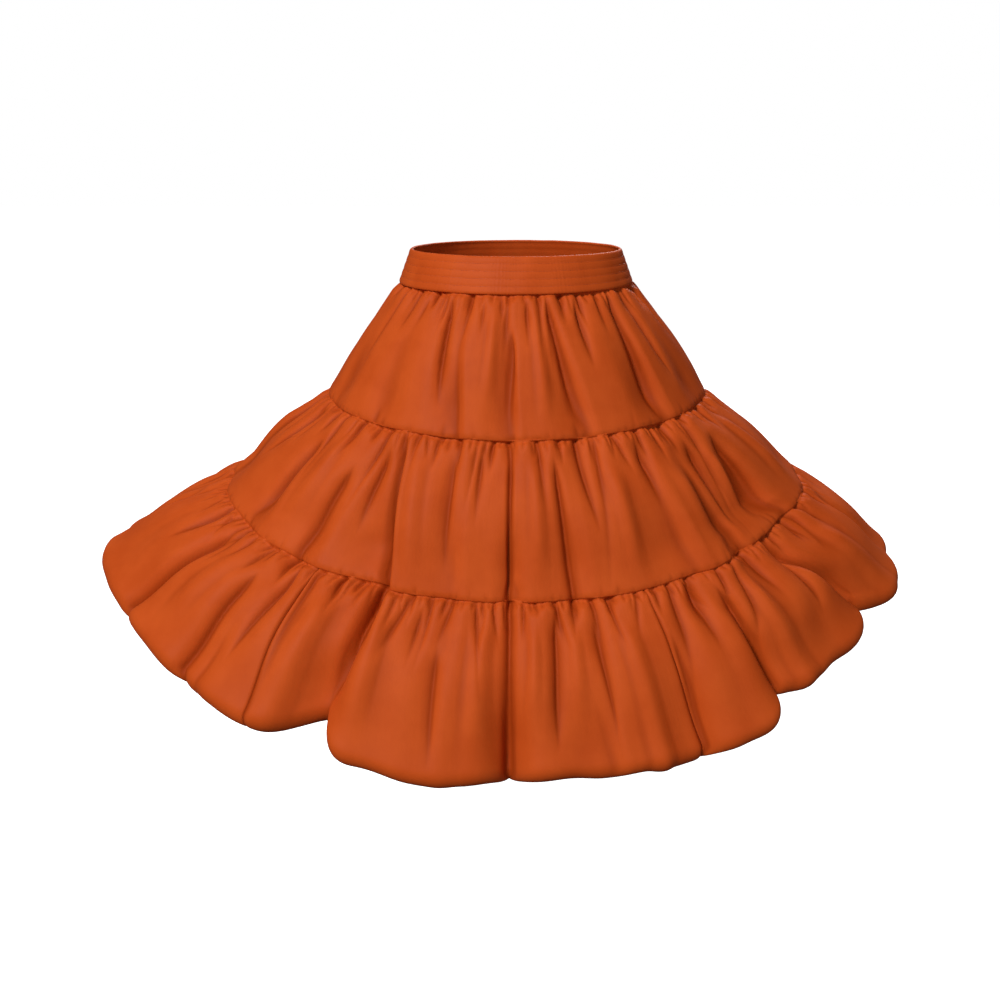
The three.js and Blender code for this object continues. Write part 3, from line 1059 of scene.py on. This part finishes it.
@dataclass(frozen=True)
class ClothWidth:
    """One width of cloth in a tier, from one join to the next, as a thin gathered shell."""

    node: str
    band_index: int
    start: Join
    end: Join
    flat_width: float
    flat_depth: float
    column_step: float = 1.35 * MM
    fine_row: float = 1.5 * MM
    coarse_row: float = 3.4 * MM
    fine_rows_to: float = 42 * MM
    thickness: float = 1.6 * MM
    evenly_to: float = 4.5 * MM
    rows_at_edge: tuple[float, ...] = (3.0 * MM, 1.4 * MM)

    def is_hem(self, form: SkirtForm) -> bool:
        """Whether the width's lower edge is the skirt's free hem."""
        return self.band_index == len(form.bands) - 1

    def distances(self, form: SkirtForm) -> np.ndarray:
        """Where the rows of points lie: closer together under the seam and at the next one.

        Args:
            form: The skirt's form.

        Returns:
            Metres down the cloth, an odd number of them.
        """
        roll = form.roll_radius * math.radians(form.roll_turn)
        end = form.bands[self.band_index].depth + (roll if self.is_hem(form) else -SEAM_HALF_GAP)
        fine = np.arange(-SEAM_TUCKED_IN, self.fine_rows_to, self.fine_row)
        steps = max(int(round((end - fine[-1]) / self.coarse_row)), 2)
        coarse = np.linspace(fine[-1], end, steps + 1)[1:]
        rows = np.concatenate([fine, coarse])
        if not self.is_hem(form):
            close = end - np.array(self.rows_at_edge)
            rows = np.sort(np.concatenate([rows[rows < end - self.evenly_to], close, [end]]))
        if len(rows) % 2 == 0:
            rows = np.insert(rows, 1, (rows[0] + rows[1]) / 2)
        return rows

    def build(self, form: SkirtForm, detail: TierDetail) -> bpy.types.Object:
        """Builds the width of cloth.

        Args:
            form: The skirt's form.
            detail: The tier's fine shape.

        Returns:
            The finished object.
        """
        band = form.bands[self.band_index]
        distance = self.distances(form)
        height = np.minimum(distance / band.depth, 1.0)
        start = self.start.at(height)
        end = start + np.mod(self.end.at(height) - start, 360.0)
        ring = form.ring(self.band_index)
        steps = int(ring * float(end[0] - start[0]) / 360.0 / self.column_step)
        steps = max(round(steps / ShellMesh.SKIP_ROUND), 4) * ShellMesh.SKIP_ROUND
        share = np.linspace(0.0, 1.0, steps + 1)
        azimuth = start[:, None] + (end - start)[:, None] * share[None, :]
        rows = np.broadcast_to(distance[:, None], azimuth.shape)
        folded = form.point(self.band_index, azimuth, rows)
        normals = grid_normals(folded, closed=False)
        normals = form.seam_blended(self.band_index, azimuth, rows, normals)
        along = np.linalg.norm(folded[:, :1] - folded, axis=-1)
        back = np.linalg.norm(folded[:, -1:] - folded, axis=-1)
        from_join = np.minimum(along, back)
        rings = (ring, form.ring(self.band_index + 1))
        above = form.bands[self.band_index - 1]
        rise = detail.rise(band, above, self.is_hem(form), azimuth, rows, rings, from_join)
        outer = folded + normals * rise[..., None]
        inner = folded + normals * (lowest_nearby(rise) - self.thickness)[..., None]
        weave = np.stack([np.broadcast_to(share * self.flat_width, azimuth.shape), rows], -1)
        hollow = hollowness(outer, normals, closed=False)
        return ShellMesh(self.node, outer, inner, weave, hollow).build()

    def declare(self, cloth: bpy.types.Object, hangs_from: list[str]) -> None:
        """Parents the width of cloth to the root body and hides the solid that it replaces."""
        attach(cloth, "root")
        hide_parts(self.node.removesuffix("_cloth"))


@dataclass(frozen=True)
class Waistband:
    """The stretched elastic waistband: a closed ring with soft channels and fine ribs.

    The channels fade between two shares of the depth from each edge. Each noise is a count and a
    seed, and its slant is how far it moves round the band down its depth, as a share of a turn.
    """

    name: str = "waistband_cloth"
    columns: int = 780
    rows: int = 39
    thickness: float = 3 * MM
    channels: int = 4
    channel_depth: float = 0.4 * MM
    channel_sharpness: int = 6
    channel_fades: tuple[float, float] = (0.03, 0.1)
    rib_height: float = 0.12 * MM
    rib_spacing: float = 3.6 * MM
    rib_unevenness: float = 0.35
    rib_usual_size: float = 0.6
    rib_size_spread: float = 0.4
    rib_slant: float = 0.002
    rib_seeds: tuple[int, int] = (5, 6)
    swell_height: float = 0.5 * MM
    swell_slant: float = 0.01
    swell_noise: tuple[int, int] = (46, 8)
    edge_rounding: float = 1.2 * MM
    edge_reach: float = 1.3 * MM
    top_gap: float = 0.3 * MM
    relaxed_round: float = 0.66
    relaxed_depth: float = 46 * MM
    stitch_rows: tuple[float, ...] = (0.2, 0.4, 0.6, 0.8)
    stitch_lift: float = 0.1 * MM
    path_points: int = 240

    def rise(self, azimuth: np.ndarray, share: np.ndarray, ring: float, depth: float) -> np.ndarray:
        """How far the band's surface stands off its smooth form.

        Args:
            azimuth: Degrees round the skirt.
            share: Share of the band's depth.
            ring: Metres round the band.
            depth: The band's depth.

        Returns:
            Heights in metres.
        """
        turns = azimuth / 360.0
        inset = np.minimum(share, 1.0 - share)
        channel = np.abs(np.cos(np.pi * (self.channels + 1) * share)) ** self.channel_sharpness
        channel = -self.channel_depth * channel * smooth_step(inset, *self.channel_fades)
        count = int(ring / self.rib_spacing)
        unevenly = ring_noise(turns, count // 2, self.rib_seeds[0])
        phase = turns * count + self.rib_unevenness * unevenly
        uneven = ring_noise(turns + self.rib_slant * share, count // 3, self.rib_seeds[1])
        size = self.rib_usual_size + self.rib_size_spread * uneven
        ribs = self.rib_height * size * np.cos(2 * np.pi * phase)
        swell = self.swell_height * ring_noise(turns + self.swell_slant * share, *self.swell_noise)
        edge = -self.edge_rounding * np.exp(-((inset * depth / self.edge_reach) ** 2))
        return channel + ribs + swell + edge

    def outer(self, form: SkirtForm, azimuth: np.ndarray,
              share: np.ndarray) -> tuple[np.ndarray, np.ndarray]:
        """The band's outer face.

        Args:
            form: The skirt's form.
            azimuth: Azimuths round the band, a whole turn.
            share: Shares of the band's depth.

        Returns:
            The grid of points and their normals.
        """
        band = form.bands[0]
        round_it, down_it = np.meshgrid(azimuth, share)
        distance = self.top_gap + down_it * (band.depth - self.top_gap - SEAM_HALF_GAP)
        smooth = form.point(0, round_it, distance)
        normals = grid_normals(smooth, closed=True)
        ring = float(np.linalg.norm(np.diff(smooth[0], axis=0), axis=1).sum())
        return smooth + normals * self.rise(round_it, down_it, ring, band.depth)[..., None], normals

    def build(self, form: SkirtForm) -> bpy.types.Object:
        """Builds the band as a closed ring.

        Args:
            form: The skirt's form.

        Returns:
            The finished object.
        """
        azimuth = np.arange(self.columns) * 360.0 / self.columns
        share = np.linspace(0.0, 1.0, self.rows)
        outer, normals = self.outer(form, azimuth, share)
        inner = outer - normals * self.thickness
        around = azimuth / 360.0 * self.relaxed_round
        weave = np.stack(np.meshgrid(around, share * self.relaxed_depth), -1)
        hollow = hollowness(outer, normals, closed=True)
        return ShellMesh(self.name, outer, inner, weave, hollow, closed=True).build()

    def stitch_paths(self, form: SkirtForm) -> bpy.types.Object:
        """Curves that the rows of stitches follow, in the channels.

        Args:
            form: The skirt's form.

        Returns:
            A curve object with one closed path for each row.
        """
        azimuth = np.arange(self.path_points) * 360.0 / self.path_points
        outer, normals = self.outer(form, azimuth, np.array(self.stitch_rows))
        curve = bpy.data.curves.new("waistband_stitch_paths", "CURVE")
        curve.dimensions = "3D"
        for row in outer + normals * self.stitch_lift:
            path = curve.splines.new("POLY")
            path.points.add(len(row) - 1)
            path.points.foreach_set("co", np.column_stack([row, np.ones(len(row))]).ravel())
            path.use_cyclic_u = True
        return link_object(curve.name, curve)

    def declare(self, band: bpy.types.Object, stitches: bpy.types.Object) -> None:
        """Parents the band and its stitches to the root body and hides the waistband's solid."""
        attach(band, "root")
        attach(stitches, "root")
        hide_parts("waistband")


def add_node(tree: bpy.types.NodeTree, kind: str, settings: dict[str, object] | None = None,
             values: dict[str | int, object] | None = None,
             links: dict[str | int, bpy.types.NodeSocket] | None = None) -> bpy.types.Node:
    """Adds a node with its settings, socket values and incoming links.

    Args:
        tree: The node tree.
        kind: The node's type.
        settings: The node's own properties.
        values: Values of its input sockets.
        links: Sockets linked to its input sockets.

    Returns:
        The new node.
    """
    node = tree.nodes.new(kind)
    for key, value in (settings or {}).items():
        setattr(node, key, value)
    for key, value in (values or {}).items():
        node.inputs[key].default_value = value
    for key, socket in (links or {}).items():
        tree.links.new(socket, node.inputs[key])
    return node


def linear(colour: str) -> tuple[float, float, float, float]:
    """Turns an sRGB hex colour to linear.

    Args:
        colour: Six hex digits.

    Returns:
        Linear red, green and blue, and full alpha.
    """
    parts = [int(colour[place : place + 2], 16) / 255 for place in (0, 2, 4)]
    turned = [part / 12.92 if part <= 0.04045 else ((part + 0.055) / 1.055) ** 2.4
              for part in parts]
    return turned[0], turned[1], turned[2], 1.0


@dataclass(frozen=True)
class Stitching:
    """Rows of running lockstitch, as small pads of thread along their paths."""

    stitch_length: float = 2.3 * MM
    spacing: float = 3.0 * MM
    thread_radius: float = 0.2 * MM
    size_range: tuple[float, float] = (0.88, 1.08)
    seed: int = 4

    def tree(self, thread: bpy.types.Material) -> bpy.types.NodeTree:
        """Builds the Geometry Nodes tree.

        Args:
            thread: The thread's material.

        Returns:
            The tree.
        """
        tree = bpy.data.node_groups.new("thread_stitches", "GeometryNodeTree")
        face = tree.interface
        face.new_socket("Paths", in_out="INPUT", socket_type="NodeSocketGeometry")
        for name in ("Stitch Length", "Spacing", "Thread Radius"):
            face.new_socket(name, in_out="INPUT", socket_type="NodeSocketFloat")
        face.new_socket("Seed", in_out="INPUT", socket_type="NodeSocketInt")
        face.new_socket("Stitches", in_out="OUTPUT", socket_type="NodeSocketGeometry")
        given = add_node(tree, "NodeGroupInput").outputs
        points = add_node(tree, "GeometryNodeResampleCurve", {"mode": "LENGTH"}, None,
                          {"Curve": given["Paths"], "Length": given["Spacing"]})
        pad = add_node(tree, "GeometryNodeMeshUVSphere", None,
                       {"Segments": 6, "Rings": 4, "Radius": 1.0})
        half = add_node(tree, "ShaderNodeMath", {"operation": "MULTIPLY"}, {1: 0.5},
                        {0: given["Stitch Length"]})
        size = add_node(tree, "ShaderNodeCombineXYZ", None, None,
                        {0: half.outputs[0], 1: given["Thread Radius"], 2: given["Thread Radius"]})
        shaped = add_node(tree, "GeometryNodeTransform", None, None,
                          {"Geometry": pad.outputs["Mesh"], "Scale": size.outputs[0]})
        tangent = add_node(tree, "GeometryNodeInputTangent")
        turned = add_node(tree, "FunctionNodeAlignRotationToVector", {"axis": "X"}, None,
                          {"Vector": tangent.outputs[0]})
        uneven = add_node(tree, "FunctionNodeRandomValue", {"data_type": "FLOAT"},
                          {"Min": self.size_range[0], "Max": self.size_range[1]},
                          {"Seed": given["Seed"]})
        placed = add_node(tree, "GeometryNodeInstanceOnPoints", None, None,
                          {"Points": points.outputs[0], "Instance": shaped.outputs[0],
                           "Rotation": turned.outputs[0], "Scale": uneven.outputs[1]})
        real = add_node(tree, "GeometryNodeRealizeInstances", None, None,
                        {"Geometry": placed.outputs[0]})
        soft = add_node(tree, "GeometryNodeSetShadeSmooth", None, None,
                        {"Geometry": real.outputs[0]})
        dressed = add_node(tree, "GeometryNodeSetMaterial", None, {"Material": thread},
                           {"Geometry": soft.outputs[0]})
        add_node(tree, "NodeGroupOutput", None, None, {"Stitches": dressed.outputs[0]})
        return tree

    def build(self, name: str, paths: bpy.types.Object,
              thread: bpy.types.Material) -> bpy.types.Object:
        """Makes the stitches as one plain mesh, and removes their paths.

        Args:
            name: The new object's name.
            paths: The curves that the stitches follow.
            thread: The thread's material.

        Returns:
            The finished object.
        """
        modifier = paths.modifiers.new("stitches", "NODES")
        modifier.node_group = self.tree(thread)
        sizes = {
            "Stitch Length": self.stitch_length,
            "Spacing": self.spacing,
            "Thread Radius": self.thread_radius,
            "Seed": self.seed,
        }
        for item in modifier.node_group.interface.items_tree:
            if item.name in sizes:
                modifier[item.identifier] = sizes[item.name]
        evaluated = paths.evaluated_get(bpy.context.evaluated_depsgraph_get())
        mesh = bpy.data.meshes.new_from_object(evaluated)
        mesh.name = name
        paths.modifiers.clear()
        bpy.data.objects.remove(paths)
        return link_object(name, mesh)


def new_material(name: str) -> tuple[bpy.types.Material, bpy.types.NodeTree]:
    """Makes a material with an empty node tree.

    Args:
        name: The material's name.

    Returns:
        The material and its tree.
    """
    material = bpy.data.materials.new(name)
    material.use_nodes = True
    material.node_tree.nodes.clear()
    return material, material.node_tree


@dataclass(frozen=True)
class SateenFinish:
    """Cotton sateen, woven and piece-dyed burnt orange.

    The floating threads of a sateen give a smooth face with a broad, soft gloss, and the dye
    takes a little unevenly, in soft clouds.
    """

    name: str
    colour: str = "C8521C"
    colour_deep: str = "BF4B17"
    # Painted shade: the colour that a deep crease turns towards, and the most share of it.
    painted_crease_shade_colour: str = "862A02"
    painted_crease_shade_share: float = 0.6
    cloud_width: float = 60 * MM
    roughness: float = 0.56
    roughness_spread: float = 0.08
    specular: float = 0.08
    thread_pitch: float = 1.1 * MM
    weave_height: float = 0.05 * MM
    crumple_across: float = 5 * MM
    crumple_down: float = 32 * MM
    crumple_height: float = 0.15 * MM

    def make(self) -> bpy.types.Material:
        """Builds the material.

        Returns:
            The material.
        """
        material, tree = new_material(self.name)
        place = add_node(tree, "ShaderNodeTexCoord").outputs["Object"]
        cloth = add_node(tree, "ShaderNodeUVMap", {"uv_map": "cloth"}).outputs["UV"]
        # Dye takes unevenly, in soft clouds.
        clouds = add_node(tree, "ShaderNodeTexNoise", None,
                          {"Scale": 1 / self.cloud_width, "Detail": 3.0, "Roughness": 0.6},
                          {"Vector": place})
        shade = add_node(tree, "ShaderNodeMapRange", None,
                         {"From Min": 0.35, "From Max": 0.65}, {"Value": clouds.outputs["Fac"]})
        tone = add_node(tree, "ShaderNodeMix", {"data_type": "RGBA"},
                        {6: linear(self.colour_deep), 7: linear(self.colour)},
                        {0: shade.outputs[0]})
        # Painted shade: the colour turns deeper and redder where the cloth lies deep in a crease.
        crease = add_node(tree, "ShaderNodeAttribute", {"attribute_name": "crease"})
        depth = add_node(tree, "ShaderNodeMath", {"operation": "MULTIPLY", "use_clamp": True},
                         {1: self.painted_crease_shade_share}, {0: crease.outputs["Fac"]})
        tone = add_node(tree, "ShaderNodeMix", {"data_type": "RGBA"},
                        {7: linear(self.painted_crease_shade_colour)},
                        {0: depth.outputs[0], 6: tone.outputs[2]})
        rough = add_node(tree, "ShaderNodeMapRange", None,
                         {"To Min": self.roughness - self.roughness_spread,
                          "To Max": self.roughness + self.roughness_spread},
                         {"Value": clouds.outputs["Fac"]})
        # Real threads are 0.2 mm apart, so they are drawn about five times as coarse to show.
        heights = []
        for turn in (0.0, math.pi / 2):
            laid = add_node(tree, "ShaderNodeMapping", None, {"Rotation": (0.0, 0.0, turn)},
                            {"Vector": cloth})
            thread = add_node(tree, "ShaderNodeTexWave", {"wave_profile": "SIN"},
                              {"Scale": WAVE_LENGTH / self.thread_pitch, "Distortion": 0.6,
                               "Detail": 1.0},
                              {"Vector": laid.outputs[0]})
            heights.append(thread.outputs["Fac"])
        weave = add_node(tree, "ShaderNodeMath", {"operation": "MULTIPLY"}, None,
                         {0: heights[0], 1: heights[1]})
        # Small soft creases run down the cloth from the gathers.
        stretched = add_node(tree, "ShaderNodeMapping", None,
                             {"Scale": (1 / self.crumple_across, 1 / self.crumple_down, 1.0)},
                             {"Vector": cloth})
        crumple = add_node(tree, "ShaderNodeTexNoise", None, {"Scale": 1.0, "Detail": 2.0},
                           {"Vector": stretched.outputs[0]})
        creased = add_node(tree, "ShaderNodeBump", None, {"Distance": self.crumple_height},
                           {"Height": crumple.outputs["Fac"]})
        woven = add_node(tree, "ShaderNodeBump", None, {"Distance": self.weave_height},
                         {"Height": weave.outputs[0], "Normal": creased.outputs[0]})
        surface = add_node(tree, "ShaderNodeBsdfPrincipled", None,
                           {"Specular IOR Level": self.specular},
                           {"Base Color": tone.outputs[2], "Roughness": rough.outputs[0],
                            "Normal": woven.outputs[0]})
        add_node(tree, "ShaderNodeOutputMaterial", None, None, {"Surface": surface.outputs[0]})
        return material


@dataclass(frozen=True)
class ThreadFinish:
    """Spun polyester sewing thread, dyed to match: a tight twist that glints along its length."""

    name: str = "polyester_thread_burnt_orange"
    colour: str = "B84B24"
    roughness: float = 0.45
    twist: float = 0.5 * MM
    twist_height: float = 0.05 * MM

    def make(self) -> bpy.types.Material:
        """Builds the material.

        Returns:
            The material.
        """
        material, tree = new_material(self.name)
        place = add_node(tree, "ShaderNodeTexCoord").outputs["Object"]
        plies = add_node(tree, "ShaderNodeTexWave", {"bands_direction": "DIAGONAL"},
                         {"Scale": WAVE_LENGTH / self.twist}, {"Vector": place})
        bump = add_node(tree, "ShaderNodeBump", None, {"Distance": self.twist_height},
                        {"Height": plies.outputs["Fac"]})
        surface = add_node(tree, "ShaderNodeBsdfPrincipled", None,
                           {"Base Color": linear(self.colour), "Roughness": self.roughness},
                           {"Normal": bump.outputs[0]})
        add_node(tree, "ShaderNodeOutputMaterial", None, None, {"Surface": surface.outputs[0]})
        return material


@dataclass(frozen=True)
class PaperFinish:
    """Seamless white studio paper: matt, with a glow of its own that keeps it white."""

    name: str = "studio_paper_white"
    colour: str = "F7F7F7"
    roughness: float = 0.9
    specular: float = 0.1
    glow: float = 0.95

    def make(self) -> bpy.types.Material:
        """Builds the material.

        Returns:
            The material.
        """
        material, tree = new_material(self.name)
        surface = add_node(tree, "ShaderNodeBsdfPrincipled", None,
                           {"Base Color": linear(self.colour), "Roughness": self.roughness,
                            "Specular IOR Level": self.specular,
                            "Emission Color": linear("FFFFFF"), "Emission Strength": self.glow})
        add_node(tree, "ShaderNodeOutputMaterial", None, None, {"Surface": surface.outputs[0]})
        return material


@dataclass(frozen=True)
class AreaLight:
    """A soft square light and where it stands and points."""

    name: str
    place: tuple[float, float, float]
    size: float
    power: float

    def build(self, target: Vector) -> None:
        """Makes the light and points it at the target."""
        lamp = bpy.data.lights.new(self.name, "AREA")
        lamp.size = self.size
        lamp.energy = self.power
        made = link_object(self.name, lamp)
        made.location = self.place
        made.rotation_euler = (target - Vector(self.place)).to_track_quat("-Z", "Y").to_euler()


@dataclass(frozen=True)
class Studio:
    """The camera, lights, world and floor."""

    aim: tuple[float, float, float] = (0.0, 0.0, -0.25)
    distance: float = 1.2
    pitch: float = 17.5
    lens: float = 31.54
    sensor: float = 36.0
    shift: tuple[float, float] = (-0.016, -0.0675)
    floor_height: float = -1.02
    floor_half: float = 20.0
    world_strength: float = 0.08
    lights: tuple[AreaLight, ...] = (
        AreaLight("key_light", (-1.4, -2.2, 2.1), 0.8, 104),
        AreaLight("fill_light", (1.6, -2.6, 0.9), 1.6, 14),
        AreaLight("rear_light", (0.8, 2.8, 1.8), 1.4, 80),
    )

    def build_camera(self) -> None:
        """Makes the scene's camera."""
        pitch = math.radians(self.pitch)
        aim = Vector(self.aim)
        camera = bpy.data.cameras.new("camera")
        camera.lens = self.lens
        camera.sensor_width = self.sensor
        camera.shift_x, camera.shift_y = self.shift
        camera.clip_start = 0.05
        camera.clip_end = 100.0
        made = link_object("camera", camera)
        made.location = aim + self.distance * Vector((0.0, -math.cos(pitch), math.sin(pitch)))
        made.rotation_euler = (aim - made.location).to_track_quat("-Z", "Y").to_euler()
        bpy.context.scene.camera = made

    def build_room(self) -> None:
        """Makes the floor, the lights and the white world."""
        half = self.floor_half
        corners = [(x, y, self.floor_height) for x, y in
                   ((-half, -half), (half, -half), (half, half), (-half, half))]
        mesh = bpy.data.meshes.new("studio_floor")
        mesh.from_pydata(corners, [], [(0, 1, 2, 3)])
        mesh.materials.append(PaperFinish().make())
        floor = link_object("studio_floor", mesh)
        floor.visible_diffuse = False
        floor.visible_glossy = False
        for light in self.lights:
            light.build(Vector(self.aim))
        world = bpy.data.worlds.new("studio_world")
        world.use_nodes = True
        tree = world.node_tree
        tree.nodes.clear()
        lit, seen = (add_node(tree, "ShaderNodeBackground", None,
                              {"Color": (1, 1, 1, 1), "Strength": strength})
                     for strength in (self.world_strength, 1.0))
        ray = add_node(tree, "ShaderNodeLightPath")
        mixed = add_node(tree, "ShaderNodeMixShader", None, None,
                         {0: ray.outputs["Is Camera Ray"], 1: lit.outputs[0], 2: seen.outputs[0]})
        add_node(tree, "ShaderNodeOutputWorld", None, None, {"Surface": mixed.outputs[0]})
        bpy.context.scene.world = world
        bpy.context.scene.view_settings.view_transform = "Standard"


TIERS = (
    (
        ClothWidth("tier_1_front_cloth", 1, Join(-91, -91), Join(91, 91), 0.83, 0.172),
        ClothWidth("tier_1_back_cloth", 1, Join(91, 91), Join(-91, -91), 0.82, 0.172),
    ),
    (
        ClothWidth("tier_2_front_cloth", 2, Join(-95, -95), Join(94, 94), 1.26, 0.18),
        ClothWidth("tier_2_back_cloth", 2, Join(94, 94), Join(-95, -95), 1.19, 0.18),
    ),
    (
        ClothWidth("tier_3_front_cloth", 3, Join(-41, -39), Join(26, 28), 0.65, 0.216),
        ClothWidth("tier_3_right_cloth", 3, Join(26, 28), Join(121, 124), 0.97, 0.216),
        ClothWidth("tier_3_back_cloth", 3, Join(121, 124), Join(-141, -138), 0.97, 0.216),
        ClothWidth("tier_3_left_cloth", 3, Join(-141, -138), Join(-41, -39), 0.97, 0.216),
    ),
)


@dataclass(frozen=True)
class Skirt:
    """The whole skirt: the waistband, its stitches and the three tiers."""

    form: SkirtForm
    detail: TierDetail = TierDetail()
    waistband: Waistband = Waistband()
    stitching: Stitching = Stitching()

    def build(self) -> None:
        """Builds and dresses every piece, parents it to the root body and hides the solid that it
        replaces.
        """
        sateen = SateenFinish("sateen_cotton_burnt_orange").make()
        elastic = SateenFinish("elastic_sateen_burnt_orange", thread_pitch=1.4 * MM).make()
        band = self.waistband.build(self.form)
        band.data.materials.append(elastic)
        paths = self.waistband.stitch_paths(self.form)
        stitches = self.stitching.build("waistband_stitches", paths, ThreadFinish().make())
        self.waistband.declare(band, stitches)
        report(band)
        report(stitches)
        hangs_from = [band.name]
        for tier in TIERS:
            made = []
            for width in tier:
                cloth = width.build(self.form, self.detail)
                cloth.data.materials.append(sateen)
                width.declare(cloth, hangs_from)
                report(cloth)
                made.append(cloth.name)
            hangs_from = made


def waist_middle() -> tuple[float, float, float]:
    """The middle of the waist opening, from the box of the waistband's solid.

    Returns:
        The place in metres. The band leans out further in front, so its box is a little forward.
    """
    low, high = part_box("waistband")
    band = BANDS[0]
    front, back = math.sin(math.radians(band.front)), math.sin(math.radians(band.back))
    forward = band.depth * (front - back) / 2.0
    return (low[0] + high[0]) / 2.0, (low[1] + high[1]) / 2.0 + forward, high[2]


def report(piece: bpy.types.Object) -> None:
    """Logs a piece's name and size."""
    triangles = sum(len(face.vertices) - 2 for face in piece.data.polygons)
    LOG.info("%s: %d triangles", piece.name, triangles)


def main() -> None:
    """Builds the studio and the skirt."""
    logging.basicConfig(level=logging.INFO, format="%(message)s")
    studio = Studio()
    studio.build_camera()
    studio.build_room()
    Skirt(SkirtForm(origin=waist_middle())).build()


if __name__ == "__main__":
    main()
